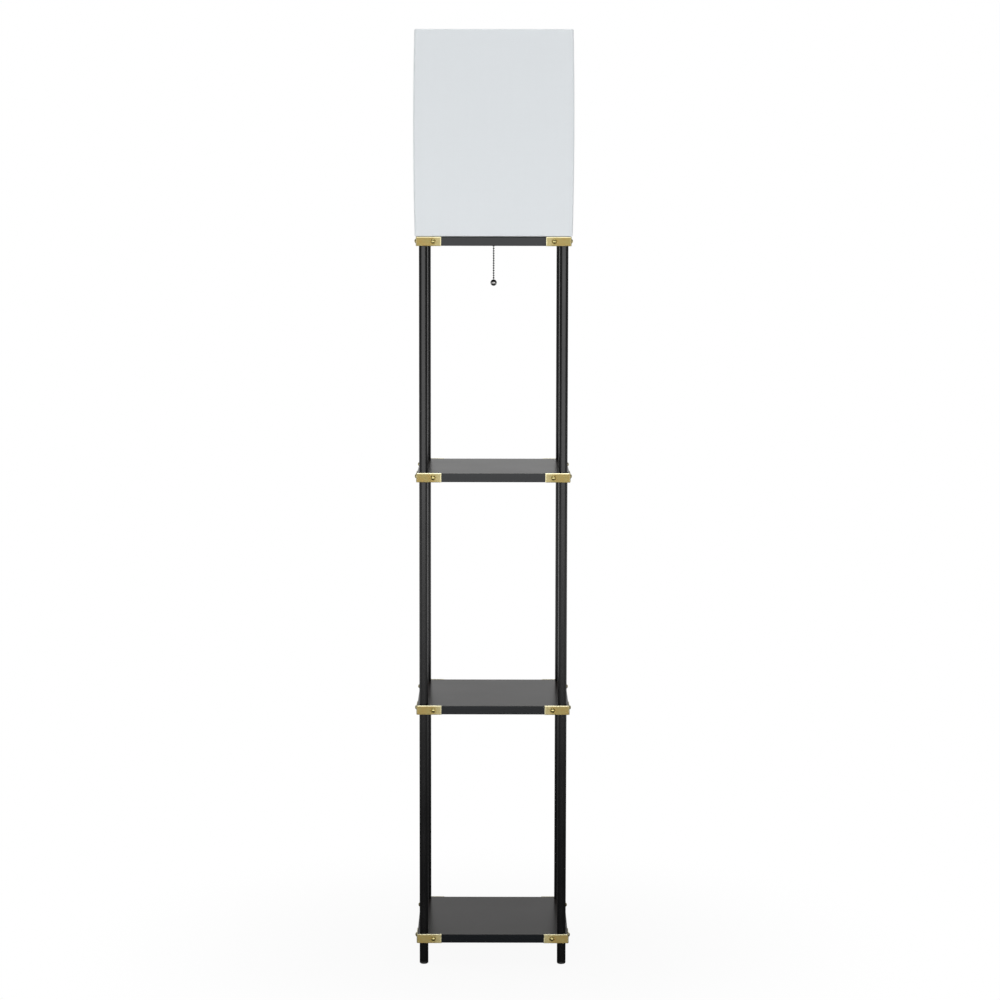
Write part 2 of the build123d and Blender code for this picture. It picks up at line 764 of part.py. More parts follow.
def switch_parts():
    return {
        "switch_housing": switch_housing(),
        "switch_stem": switch_stem(),
        "switch_plunger": switch_plunger(),
        "switch_rotor": switch_rotor(),
        "switch_spring": switch_spring(),
        "switch_leads": switch_leads(),
        "chain_anchor": chain_anchor(),
        "chain_swivel_bead": bead(chain_pivot_z),
        "pull_chain": pull_chain(),
        "pull_ball": pull_ball(),
    }


def main():
    os.makedirs("parts", exist_ok=True)
    sections = [
        shelves_and_posts(), fasteners(), corner_hardware(), shade_parts(),
        holder_parts(), bulb_parts(), switch_parts(),
    ]
    for section in sections:
        for name, shape in section.items():
            export_step(shape, f"parts/{name}.step")


main()
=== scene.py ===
import bmesh
import bpy
import numpy as np
from bpy.props import FloatProperty, FloatVectorProperty, PointerProperty
from mathutils import Matrix, Vector


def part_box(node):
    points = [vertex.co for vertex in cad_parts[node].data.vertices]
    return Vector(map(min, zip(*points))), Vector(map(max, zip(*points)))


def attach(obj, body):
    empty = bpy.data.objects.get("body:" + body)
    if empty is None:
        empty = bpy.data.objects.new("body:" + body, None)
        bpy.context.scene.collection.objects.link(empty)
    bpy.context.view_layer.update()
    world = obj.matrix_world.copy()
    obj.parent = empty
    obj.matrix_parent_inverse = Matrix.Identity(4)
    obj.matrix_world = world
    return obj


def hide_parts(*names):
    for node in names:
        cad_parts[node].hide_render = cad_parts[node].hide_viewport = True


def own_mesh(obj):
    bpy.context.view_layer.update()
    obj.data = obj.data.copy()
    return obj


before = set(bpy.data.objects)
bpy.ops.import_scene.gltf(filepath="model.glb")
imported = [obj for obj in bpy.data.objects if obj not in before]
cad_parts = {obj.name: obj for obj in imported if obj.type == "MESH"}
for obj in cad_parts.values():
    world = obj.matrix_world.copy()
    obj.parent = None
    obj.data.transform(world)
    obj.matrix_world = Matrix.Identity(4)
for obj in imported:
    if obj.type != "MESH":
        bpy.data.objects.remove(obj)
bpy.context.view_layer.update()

bl_info = {
    "name": "Shelf Floor Lamp",
    "version": (1, 0, 0),
    "blender": (4, 5, 0),
    "location": "3D View > Sidebar > Shelf Lamp",
    "description": "Finishes the boards, posts, brass corners, cloth shade and pull chain of a shelf floor lamp",
    "category": "Object",
}

LEVELS = ("bottom_shelf", "middle_shelf", "upper_shelf", "lamp_deck")
CORNERS = ("front_left", "front_right", "rear_right", "rear_left")
POSTS = [f"{bay}_post_{corner}" for bay in ("lower", "middle", "upper") for corner in CORNERS]
FEET = [f"foot_{corner}" for corner in CORNERS]
LAMP_BODY = "lamp_frame"


# ---------------------------------------------------------------- sizes and colours a user would change
def colour(name, description, default):
    return FloatVectorProperty(
        name=name, description=description, default=default, subtype="COLOR", size=3, min=0.0, max=1.0
    )


def length(name, description, default):
    return FloatProperty(name=name, description=description, default=default, unit="LENGTH", min=0.0, precision=5)


def share(name, description, default):
    return FloatProperty(name=name, description=description, default=default, subtype="FACTOR", min=0.0, max=1.0)


class BlackFinish(bpy.types.PropertyGroup):
    """Satin black lacquer of the boards and powder coat of the tubes"""

    # Painted light: the level faces are painted lighter and warmer and the upright faces darker and cooler, as light
    # falls on them.
    painted_lit_top_colour: colour("Top colour", "Lacquer on the level faces of the boards", (0.008, 0.006, 0.0044))
    painted_shade_edge_colour: colour("Edge colour", "Lacquer on the upright edges of the boards", (0.0028, 0.0042, 0.0060))
    board_roughness: share("Board roughness", "How soft the boards' reflections are", 0.3)
    worn_roughness: share("Worn roughness", "The same on edges that hands have polished", 0.22)
    board_gloss: share("Board gloss", "Specular level of the lacquer", 0.3)
    tube_colour: colour("Tube colour", "Powder coat on posts and feet", (0.0032, 0.0032, 0.0034))
    tube_roughness: share("Tube roughness", "How soft the posts' reflections are", 0.22)
    tube_gloss: share("Tube gloss", "Specular level of the powder coat", 0.36)
    lacquer_grain: length("Lacquer grain", "Size of the lacquer's fine ripple", 0.0016)
    powder_grain: length("Powder grain", "Size of the powder coat's bumps", 0.0007)


class BrassFinish(bpy.types.PropertyGroup):
    """Satin brass of the corner brackets and their rivets"""

    plate_colour: colour("Plate colour", "Brushed face of the brackets", (0.536, 0.439, 0.171))
    # Painted highlight: the brackets' free ends are painted paler where the lamps catch them.
    painted_end_highlight_colour: colour("End colour", "Paler tone of the brackets towards their free ends", (0.69, 0.62, 0.356))
    # Painted highlight: bends, bevels and top edges are painted bright where the lamps catch them.
    painted_rim_highlight_colour: colour("Rim colour", "Bends and edges, where the plating is rubbed bright", (0.84, 0.79, 0.53))
    rivet_colour: colour("Rivet colour", "Domed heads", (0.55, 0.47, 0.20))
    plate_roughness: share("Plate roughness", "How soft the brackets' reflections are", 0.76)
    rim_roughness: share("Rim roughness", "The same on bends and bevels", 0.3)
    rivet_roughness: share("Rivet roughness", "How soft the rivets' reflections are", 0.3)
    brush_width: length("Brush width", "Distance between brush lines", 0.00035)
    mottle_size: length("Mottle size", "Size of the clouds in the plating's tone", 0.007)
    arm: length("Bracket arm", "Corner of a bracket to its free end", 0.043)
    rim_width: length("Rim width", "How far in from its edges a bracket is rubbed bright", 0.0023)
    end_width: length("End width", "How far the paler tone reaches from a bracket's free end", 0.017)


class ShadeCloth(bpy.types.PropertyGroup):
    """Cloth, liner and hems of the shade"""

    cloth_colour: colour("Cloth colour", "Cool white cotton", (0.72, 0.752, 0.775))
    liner_colour: colour("Liner colour", "Stiff liner behind the cloth", (0.82, 0.83, 0.82))
    wire_colour: colour("Wire colour", "Enamelled wire frame", (0.80, 0.80, 0.78))
    thread_pitch: length("Thread pitch", "Distance between neighbouring threads", 0.0006)
    thread_relief: length("Thread relief", "Height of a thread over its neighbour", 0.00004)
    cloth_thickness: length("Cloth thickness", "Thickness of the woven cloth", 0.00035)
    corner_radius: length("Corner radius", "Rounding of the shade's upright corners", 0.004)
    wall: length("Wall", "Cloth and liner together", 0.001)
    hem_turn: length("Hem turn", "How far the cloth is turned in behind the wires", 0.012)
    seam_lap: length("Seam lap", "How far the cloth's two ends lap at the back", 0.008)
    bow: length("Bow", "How far each wall stands out at half height", 0.002)


class Fittings(bpy.types.PropertyGroup):
    """Holder, bulb, switch and chain"""

    moulding_colour: colour("Moulding colour", "Black phenolic of holder and switch", (0.02, 0.02, 0.021))
    steel_colour: colour("Steel colour", "Zinc plated steel", (0.62, 0.63, 0.65))
    bulb_colour: colour("Bulb colour", "Opal globe of the unlit bulb", (0.9, 0.9, 0.88))
    chain_colour: colour("Chain colour", "Black finish of the beads", (0.004, 0.0038, 0.0035))
    ball_colour: colour("Ball colour", "Black nickel of the pull ball", (0.31, 0.305, 0.30))
    ball_roughness: share("Ball roughness", "How soft the ball's highlight is", 0.3)
    spring_wire: length("Spring wire", "Thickness of the switch spring's wire", 0.0007)
    spring_turns: FloatProperty(name="Spring turns", description="Turns of the switch spring", default=5.0, min=1.0)


class Studio(bpy.types.PropertyGroup):
    """Camera and soft lamps"""

    focal_length: FloatProperty(name="Focal length", description="Lens on a 36 mm sensor", default=102.3, min=1.0)
    camera_place: FloatVectorProperty(
        name="Camera place", description="Where the camera stands", default=(0.0003, -4.927, 1.3487),
        subtype="TRANSLATION", unit="LENGTH", size=3,
    )
    camera_pitch: FloatProperty(
        name="Camera pitch", description="How far the camera looks down", default=0.1052, subtype="ANGLE",
        unit="ROTATION",
    )
    camera_roll: FloatProperty(
        name="Camera roll", description="Turn about the line of sight", default=0.0015, subtype="ANGLE",
        unit="ROTATION",
    )
    frame_shift: FloatVectorProperty(
        name="Frame shift", description="Shift of the picture frame to the right and upwards",
        default=(0.0065, -0.0196), size=2,
    )
    panel_radiance: FloatProperty(
        name="Panels", description="Brightness of the upright soft panels behind the camera", default=2.25, min=0.0
    )
    arc_radius: length("Arc radius", "Lamp to the upright panels, which stand on an arc round it", 5.0)
    arc_reach: FloatProperty(
        name="Arc reach", description="How far round to each side the panels go", default=0.87, subtype="ANGLE",
        unit="ROTATION",
    )
    panel_height: length("Panel height", "Height of the upright panels, which stand just off the floor", 2.3)
    top_radiance: FloatProperty(
        name="Overhead panel", description="Brightness of the soft panel overhead", default=3.3, min=0.0
    )
    room_light: FloatProperty(
        name="Room light", description="Soft light from the front half of the room, as a share of white", default=0.2,
        min=0.0,
    )
    back_light: FloatProperty(
        name="Back light", description="The same from the back half of the room", default=1.1, min=0.0
    )
    fill_radiance: FloatProperty(
        name="Low fill", description="Brightness of the low panel in front that lights the cloth only", default=2.4,
        min=0.0,
    )
    side_level: share("Side level", "How bright reflections of the room's sides are", 0.2)


GROUPS = {
    "lamp_black": BlackFinish,
    "lamp_brass": BrassFinish,
    "lamp_shade": ShadeCloth,
    "lamp_fittings": Fittings,
    "lamp_studio": Studio,
}


# ---------------------------------------------------------------- shader building
def put(nodes, kind, place=(0, 0), **settings):
    """A new node of that kind with its properties set."""
    node = nodes.new(kind)
    node.location = place
    for name, value in settings.items():
        setattr(node, name, value)
    return node


def fill(node, **values):
    """Sets a node's inputs by name, with underscores for spaces."""
    for name, value in values.items():
        node.inputs[name.replace("_", " ")].default_value = value


def maths(tree, operation, first, second=None):
    """One Math node. Inputs are numbers or sockets."""
    node = put(tree.nodes, "ShaderNodeMath", operation=operation)
    for slot, value in enumerate((first, second)):
        if value is None:
            continue
        if isinstance(value, (int, float)):
            node.inputs[slot].default_value = value
        else:
            tree.links.new(value, node.inputs[slot])
    return node.outputs[0]


def effect(name, inputs, outputs):
    """An empty node group with named sockets: (tree, input node, output node)."""
    tree = bpy.data.node_groups.new(name, "ShaderNodeTree")
    for label, kind, default in inputs:
        socket = tree.interface.new_socket(label, in_out="INPUT", socket_type=kind)
        if default is not None:
            socket.default_value = default
    for label, kind in outputs:
        tree.interface.new_socket(label, in_out="OUTPUT", socket_type=kind)
    return tree, put(tree.nodes, "NodeGroupInput"), put(tree.nodes, "NodeGroupOutput")


def grain_effect():
    """Fine bumps of a coat or moulding, with a slow drift in tone over the surface."""
    tree, source, sink = effect(
        "Surface Grain",
        [("Grain", "NodeSocketFloat", 0.001), ("Relief", "NodeSocketFloat", 0.00001), ("Drift", "NodeSocketFloat", 0.06)],
        [("Tone", "NodeSocketFloat"), ("Drift", "NodeSocketFloat"), ("Normal", "NodeSocketVector")],
    )
    place = put(tree.nodes, "ShaderNodeTexCoord")
    fine = put(tree.nodes, "ShaderNodeTexNoise")
    fill(fine, Detail=3.0, Roughness=0.55)
    slow = put(tree.nodes, "ShaderNodeTexNoise")
    fill(slow, Detail=2.0)
    bump = put(tree.nodes, "ShaderNodeBump")
    link = tree.links.new
    link(place.outputs["Object"], fine.inputs["Vector"])
    link(place.outputs["Object"], slow.inputs["Vector"])
    link(maths(tree, "DIVIDE", 1.0, source.outputs["Grain"]), fine.inputs["Scale"])
    link(maths(tree, "DIVIDE", 1.0, source.outputs["Drift"]), slow.inputs["Scale"])
    link(fine.outputs["Fac"], bump.inputs["Height"])
    link(source.outputs["Relief"], bump.inputs["Distance"])
    link(fine.outputs["Fac"], sink.inputs["Tone"])
    link(slow.outputs["Fac"], sink.inputs["Drift"])
    link(bump.outputs["Normal"], sink.inputs["Normal"])
    return tree


def brush_effect():
    """Short scratches along each plate, level with the floor, as brushed metal has."""
    tree, source, sink = effect(
        "Brushed Lines",
        [("Width", "NodeSocketFloat", 0.0003), ("Length", "NodeSocketFloat", 0.012), ("Relief", "NodeSocketFloat", 0.000004)],
        [("Tone", "NodeSocketFloat"), ("Normal", "NodeSocketVector")],
    )
    place = put(tree.nodes, "ShaderNodeTexCoord")
    across = maths(tree, "DIVIDE", 1.0, source.outputs["Width"])
    along = maths(tree, "DIVIDE", 1.0, source.outputs["Length"])
    stretch = put(tree.nodes, "ShaderNodeCombineXYZ")
    scaled = put(tree.nodes, "ShaderNodeVectorMath", operation="MULTIPLY")
    streaks = put(tree.nodes, "ShaderNodeTexNoise")
    fill(streaks, Scale=1.0, Detail=4.0, Roughness=0.6)
    bump = put(tree.nodes, "ShaderNodeBump")
    link = tree.links.new
    link(along, stretch.inputs["X"])
    link(along, stretch.inputs["Y"])
    link(across, stretch.inputs["Z"])
    link(place.outputs["Object"], scaled.inputs[0])
    link(stretch.outputs[0], scaled.inputs[1])
    link(scaled.outputs[0], streaks.inputs["Vector"])
    link(streaks.outputs["Fac"], bump.inputs["Height"])
    link(source.outputs["Relief"], bump.inputs["Distance"])
    link(streaks.outputs["Fac"], sink.inputs["Tone"])
    link(bump.outputs["Normal"], sink.inputs["Normal"])
    return tree


def weave_effect():
    """Plain weave: warp and weft threads pass over each other in turn, with uneven threads."""
    tree, source, sink = effect(
        "Plain Weave",
        [("Pitch", "NodeSocketFloat", 0.0006), ("Relief", "NodeSocketFloat", 0.00005), ("Slub", "NodeSocketFloat", 0.35)],
        [("Tone", "NodeSocketFloat"), ("Normal", "NodeSocketVector")],
    )
    place = put(tree.nodes, "ShaderNodeUVMap", uv_map="Cloth")
    split = put(tree.nodes, "ShaderNodeSeparateXYZ")
    link = tree.links.new
    link(place.outputs["UV"], split.inputs[0])
    counts = [maths(tree, "DIVIDE", split.outputs[axis], source.outputs["Pitch"]) for axis in ("X", "Y")]
    ridges = [maths(tree, "ABSOLUTE", maths(tree, "SINE", maths(tree, "MULTIPLY", n, np.pi))) for n in counts]
    cells = [maths(tree, "FLOOR", n) for n in counts]
    over = maths(tree, "PINGPONG", maths(tree, "ADD", cells[0], cells[1]), 1.0)
    warp = maths(tree, "MULTIPLY", ridges[0], over)
    weft = maths(tree, "MULTIPLY", ridges[1], maths(tree, "SUBTRACT", 1.0, over))
    threads = maths(tree, "MAXIMUM", warp, weft)
    uneven = []
    for long_way in ((6.0, 260.0, 1.0), (260.0, 6.0, 1.0)):
        stretched = put(tree.nodes, "ShaderNodeMapping")
        stretched.inputs["Scale"].default_value = long_way
        noise = put(tree.nodes, "ShaderNodeTexNoise")
        fill(noise, Scale=1.0, Detail=3.0)
        link(place.outputs["UV"], stretched.inputs["Vector"])
        link(stretched.outputs[0], noise.inputs["Vector"])
        uneven.append(noise.outputs["Fac"])
    slubs = maths(tree, "MULTIPLY", maths(tree, "ADD", uneven[0], uneven[1]), source.outputs["Slub"])
    height = maths(tree, "ADD", threads, slubs)
    bump = put(tree.nodes, "ShaderNodeBump")
    link(height, bump.inputs["Height"])
    link(source.outputs["Relief"], bump.inputs["Distance"])
    link(height, sink.inputs["Tone"])
    link(bump.outputs["Normal"], sink.inputs["Normal"])
    return tree


def edge_effect():
    """Bends and bevels against flat faces: the edge is 1 where the surface faces between the axes.

    The edge is one less the largest part of the surface's direction, stretched to reach 1 at a bevel of 45 degrees.
    Level is how far the surface faces up or down. The boards use Level to paint light by facing, and the brass uses the
    edge to paint a highlight.
    """
    tree, source, sink = effect(
        "Edge Wear and Painted Light Masks", [("Sharpness", "NodeSocketFloat", 3.6)], [("Edge", "NodeSocketFloat"), ("Level", "NodeSocketFloat")]
    )
    place = put(tree.nodes, "ShaderNodeTexCoord")
    split = put(tree.nodes, "ShaderNodeSeparateXYZ")
    tree.links.new(place.outputs["Normal"], split.inputs[0])
    parts = [maths(tree, "ABSOLUTE", split.outputs[axis]) for axis in ("X", "Y", "Z")]
    largest = maths(tree, "MAXIMUM", maths(tree, "MAXIMUM", parts[0], parts[1]), parts[2])
    between = maths(tree, "MULTIPLY", maths(tree, "SUBTRACT", 1.0, largest), source.outputs["Sharpness"])
    tree.links.new(maths(tree, "MINIMUM", between, 1.0), sink.inputs["Edge"])
    tree.links.new(parts[2], sink.inputs["Level"])
    return tree


def rim_effect():
    """Mask of the painted highlight rim along a bracket's top, free end and bend, and how near its free end a point is.

    The rim falls from 1 at the nearest of the three to 0 at the width, and End from 1 at the free end to 0 at the end
    width, each in an even S curve. The heights start again at each level of brackets.
    """
    lengths = ("Bottom", "Pitch", "Height", "Face", "Arm", "Width", "End Width")
    tree, source, sink = effect(
        "Rim Polish and Painted Highlight",
        [(name, "NodeSocketFloat", 0.01) for name in lengths],
        [("Rim", "NodeSocketFloat"), ("End", "NodeSocketFloat")],
    )
    bottom, pitch, height, face, arm, width, end_width = [source.outputs[name] for name in lengths]
    place = put(tree.nodes, "ShaderNodeTexCoord")
    split = put(tree.nodes, "ShaderNodeSeparateXYZ")
    tree.links.new(place.outputs["Object"], split.inputs[0])
    rise = maths(tree, "FLOORED_MODULO", maths(tree, "SUBTRACT", split.outputs["Z"], bottom), pitch)
    from_axis = [maths(tree, "ABSOLUTE", split.outputs[axis]) for axis in ("X", "Y")]
    along = maths(tree, "MINIMUM", *from_axis)
    to_end = maths(tree, "SUBTRACT", along, maths(tree, "SUBTRACT", face, arm))
    to_bend = maths(tree, "SUBTRACT", face, along)
    nearest = maths(tree, "MINIMUM", maths(tree, "SUBTRACT", height, rise), maths(tree, "MINIMUM", to_end, to_bend))
    rim = smooth(tree, maths(tree, "DIVIDE", nearest, width), 0.0, 1.0, 1.0, 0.0)
    end = smooth(tree, maths(tree, "DIVIDE", to_end, end_width), 0.3, 1.0, 1.0, 0.0)
    tree.links.new(rim, sink.inputs["Rim"])
    tree.links.new(end, sink.inputs["End"])
    return tree


def material(name, base, roughness, metallic=0.0, gloss=0.5, coat=0.0):
    """A Principled material: (material, shader node)."""
    made = bpy.data.materials.new(name)
    made.use_nodes = True
    shader = made.node_tree.nodes["Principled BSDF"]
    shader.inputs["Base Color"].default_value = (*base, 1.0)
    fill(shader, Roughness=roughness, Metallic=metallic, Coat_Weight=coat)
    shader.inputs["Specular IOR Level"].default_value = gloss
    made.diffuse_color = (*base, 1.0)
    return made, shader


def blend_colours(tree, factor, first, second):
    """Colour that goes from the first to the second with the factor. Colours are triples or sockets."""
    mix = put(tree.nodes, "ShaderNodeMix", data_type="RGBA")
    tree.links.new(factor, mix.inputs["Factor"])
    for name, value in (("A", first), ("B", second)):
        if isinstance(value, bpy.types.NodeSocket):
            tree.links.new(value, mix.inputs[name])
        else:
            mix.inputs[name].default_value = (*value, 1.0)
    return mix.outputs["Result"]


def shade_of(tree, tone, base, spread):
    """Base colour that goes a little darker and lighter with a tone of 0 to 1."""
    darker = [c * (1 - spread) for c in base]
    lighter = [min(c * (1 + spread), 1.0) for c in base]
    return blend_colours(tree, tone, darker, lighter)


def stretched(tree, tone, low, high, to_low, to_high):
    """Value that goes from to_low to to_high as the tone goes from low to high."""
    swing = put(tree.nodes, "ShaderNodeMapRange")
    fill(swing, From_Min=low, From_Max=high, To_Min=to_low, To_Max=to_high)
    tree.links.new(tone, swing.inputs["Value"])
    return swing.outputs["Result"]


def spread_of(tree, tone, centre, spread):
    """A value that swings by spread round its centre with a tone of 0 to 1."""
    return stretched(tree, tone, 0.25, 0.75, centre - spread, centre + spread)


def placed(tree, name, **values):
    """A shared effect in a material, with its own values."""
    node = put(tree.nodes, "ShaderNodeGroup", node_tree=bpy.data.node_groups[name])
    fill(node, **values)
    return node


def grained(name, base, roughness, grain, relief, metallic=0.0, gloss=0.5, coat=0.0, spread=0.08, drift=0.06):
    """Material with fine surface grain, uneven roughness and a slow drift in colour."""
    made, shader = material(name, base, roughness, metallic, gloss, coat)
    tree = made.node_tree
    surface = placed(tree, "Surface Grain", Grain=grain, Relief=relief, Drift=drift)
    link = tree.links.new
    link(shade_of(tree, surface.outputs["Drift"], base, spread), shader.inputs["Base Color"])
    link(spread_of(tree, surface.outputs["Drift"], roughness, 0.04), shader.inputs["Roughness"])
    link(surface.outputs["Normal"], shader.inputs["Normal"])
    return made


def lacquered(name, look):
    """Black lacquer with light painted by facing: level faces painted lighter and warmer, upright ones darker and
    cooler; the bevels are a little smoother.
    """
    made, shader = material(name, look.painted_lit_top_colour, look.board_roughness, gloss=look.board_gloss)
    tree = made.node_tree
    surface = placed(tree, "Surface Grain", Grain=look.lacquer_grain, Relief=0.000006, Drift=0.12)
    faces = placed(tree, "Edge Wear and Painted Light Masks")
    # Painted light: the level faces take the lighter, warmer colour and the upright faces the darker, cooler one.
    top = shade_of(tree, surface.outputs["Drift"], look.painted_lit_top_colour, 0.12)
    edge = shade_of(tree, surface.outputs["Drift"], look.painted_shade_edge_colour, 0.12)
    flat_roughness = spread_of(tree, surface.outputs["Drift"], look.board_roughness, 0.012)
    worn = maths(tree, "MULTIPLY", faces.outputs["Edge"], look.board_roughness - look.worn_roughness)
    link = tree.links.new
    link(blend_colours(tree, faces.outputs["Level"], edge, top), shader.inputs["Base Color"])
    link(maths(tree, "SUBTRACT", flat_roughness, worn), shader.inputs["Roughness"])
    link(surface.outputs["Normal"], shader.inputs["Normal"])
    return made


def brushed(name, look):
    """Brushed brass plate with a clouded tone and a painted highlight: bright and smoother along its bend, top and
    bevels, paler towards its free ends.
    """
    made, shader = material(name, look.plate_colour, look.plate_roughness, metallic=1.0)
    tree = made.node_tree
    lines = placed(tree, "Brushed Lines", Width=look.brush_width, Length=0.02, Relief=0.000004)
    clouds = placed(tree, "Surface Grain", Grain=0.0012, Relief=0.00002, Drift=look.mottle_size)
    faces = placed(tree, "Edge Wear and Painted Light Masks")
    low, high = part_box(f"{LEVELS[0]}_brackets")
    next_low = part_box(f"{LEVELS[1]}_brackets")[0]
    rim = placed(
        tree, "Rim Polish and Painted Highlight", Bottom=low[2] - 0.0001, Pitch=next_low[2] - low[2], Height=high[2] - low[2], Face=high[0],
        Arm=look.arm, Width=look.rim_width, End_Width=look.end_width,
    )
    # Painted highlight: the bend, the top edge and the bevels are painted towards the bright rim colour and made
    # smoother.
    rubbed_and_painted_highlight = maths(tree, "MAXIMUM", maths(tree, "MULTIPLY", faces.outputs["Edge"], 0.7), rim.outputs["Rim"])
    tone = maths(tree, "MULTIPLY", maths(tree, "ADD", lines.outputs["Tone"], clouds.outputs["Drift"]), 0.5)
    redder = [look.plate_colour[0] * 0.98, look.plate_colour[1] * 0.86, look.plate_colour[2] * 0.8]
    greener = [look.plate_colour[0] * 1.04, look.plate_colour[1] * 1.12, look.plate_colour[2] * 1.3]
    face = blend_colours(tree, stretched(tree, tone, 0.36, 0.64, 0.0, 1.0), redder, greener)
    # Painted highlight: the free end is painted towards the paler end colour.
    face = blend_colours(tree, maths(tree, "MULTIPLY", rim.outputs["End"], 0.8), face, look.painted_end_highlight_colour)
    flat_roughness = spread_of(tree, tone, look.plate_roughness, 0.07)
    worn = maths(tree, "MULTIPLY", rubbed_and_painted_highlight, look.plate_roughness - look.rim_roughness)
    link = tree.links.new
    link(blend_colours(tree, rubbed_and_painted_highlight, face, look.painted_rim_highlight_colour), shader.inputs["Base Color"])
    link(maths(tree, "SUBTRACT", flat_roughness, worn), shader.inputs["Roughness"])
    link(lines.outputs["Normal"], shader.inputs["Normal"])
    return made


def woven(name, base, pitch, relief, spread=0.05, slub=0.35):
    """Plain woven cloth."""
    made, shader = material(name, base, 0.85, gloss=0.2)
    shader.inputs["Sheen Weight"].default_value = 0.15
    shader.inputs["Sheen Roughness"].default_value = 0.5
    tree = made.node_tree
    weave = placed(tree, "Plain Weave", Pitch=pitch, Relief=relief, Slub=slub)
    tree.links.new(shade_of(tree, weave.outputs["Tone"], base, spread), shader.inputs["Base Color"])
    tree.links.new(weave.outputs["Normal"], shader.inputs["Normal"])
    return made


def finish_nodes(names, made):
    """Gives CAD pieces their material."""
    for name in names:
        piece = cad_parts[name]
        piece.data.materials.clear()
        piece.data.materials.append(made)


# ---------------------------------------------------------------- mesh building
def sheet_mesh(name, points, uv=None, around=True):
    """Mesh of a grid of points, rows by columns. around joins the last column to the first.

    uv holds each corner's place on the flat cloth, with one more column than the points where it goes around.
    """
    rows, columns = points.shape[:2]
    index = np.arange(rows * columns).reshape(rows, columns)
    if around:
        index = np.concatenate([index, index[:, :1]], axis=1)
    quads = np.stack([index[:-1, :-1], index[:-1, 1:], index[1:, 1:], index[1:, :-1]], axis=-1).reshape(-1, 4)
    mesh = bpy.data.meshes.new(name)
    mesh.vertices.add(rows * columns)
    mesh.vertices.foreach_set("co", points.astype(np.float32).ravel())
    mesh.loops.add(quads.size)
    mesh.loops.foreach_set("vertex_index", quads.astype(np.int32).ravel())
    mesh.polygons.add(len(quads))
    mesh.polygons.foreach_set("loop_start", np.arange(0, quads.size, 4, dtype=np.int32))
    mesh.polygons.foreach_set("use_smooth", np.ones(len(quads), dtype=bool))
    if uv is not None:
        corner_uv = np.stack([uv[:-1, :-1], uv[:-1, 1:], uv[1:, 1:], uv[1:, :-1]], axis=2)
        layer = mesh.uv_layers.new(name="Cloth")
        layer.data.foreach_set("uv", corner_uv.astype(np.float32).ravel())
    mesh.update(calc_edges=True)
    mesh.validate()
    piece = bpy.data.objects.new(name, mesh)
    bpy.context.scene.collection.objects.link(piece)
    return piece


def thicken(piece, thickness, offset=-1.0):
    """Gives a sheet its thickness, inwards."""
    wall = piece.modifiers.new("Thickness", "SOLIDIFY")
    wall.thickness = thickness
    wall.offset = offset
    wall.use_even_offset = True


def square_steps(straight_steps, corner_steps):
    """Steps once round a square, close together at its corners, from the middle of the front."""
    half = np.linspace(0.0, 1.0, straight_steps, endpoint=False)
    bend = np.linspace(1.0, 2.0, corner_steps, endpoint=False)
    last = np.linspace(2.0, 3.0, straight_steps, endpoint=False)
    quarter = np.concatenate([half, bend, last])
    return np.concatenate([quarter + 3.0 * side for side in range(4)])


def seam_steps(steps, half_side, lap, drop):
    """The same steps with more of them across the seam, and how far past the middle of the back each one lies.

    Step 6 is the middle of the back, and one step is half a side long there.
    """
    lap_steps = np.concatenate([np.linspace(-0.5 * lap, 0.5 * lap, 7), [0.5 * lap + drop]]) / half_side
    finer = np.unique(np.concatenate([steps, 6.0 + lap_steps]))
    return finer, (finer - 6.0) * half_side


def seam_lift(past_middle, lap, drop, thickness):
    """How far the lap stands out: it rises slowly over the end that is underneath, then drops at the edge on top."""
    rise = np.clip(past_middle / lap + 0.5, 0.0, 1.0)
    fall = np.clip((0.5 * lap + drop - past_middle) / drop, 0.0, 1.0)
    return thickness * np.sin(0.5 * np.pi * rise) * fall


def rounded_square(steps, half, radius):
    """Points and outward normals round a square with rounded corners.

    A step's whole number says which of each side's three stretches it is on: half a side, the corner's arc, or
    half of the next side. Its fraction is the place on that stretch. Steps run counter-clockwise from above.
    """
    side, place = np.divmod(steps, 3.0)
    straight = half - radius
    first = straight * np.clip(place, 0.0, 1.0)
    bend = 0.5 * np.pi * np.clip(place - 1.0, 0.0, 1.0)
    second = straight * np.clip(place - 2.0, 0.0, 1.0)
    x = first + radius * np.sin(bend)
    y = -half + radius * (1.0 - np.cos(bend)) + second
    turn = 0.5 * np.pi * side
    point = np.stack([x * np.cos(turn) - y * np.sin(turn), x * np.sin(turn) + y * np.cos(turn)], axis=-1)
    normal = np.stack([np.sin(bend + turn), -np.cos(bend + turn)], axis=-1)
    return point, normal


def walk(points):
    """Distance walked along a closed line of points, with the closing step at the end."""
    closed = np.concatenate([points, points[:1]])
    return np.concatenate([[0.0], np.cumsum(np.linalg.norm(np.diff(closed, axis=0), axis=1))])


def shade_half_width(z, shade):
    """Half the shade's width at height z: a shallow arc that stands out by the bow at half height."""
    low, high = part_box("shade_cover")
    middle = 0.5 * (low[2] + high[2])
    reach = 0.5 * (high[2] - low[2])
    return high[0] - shade.bow * ((z - middle) / reach) ** 2


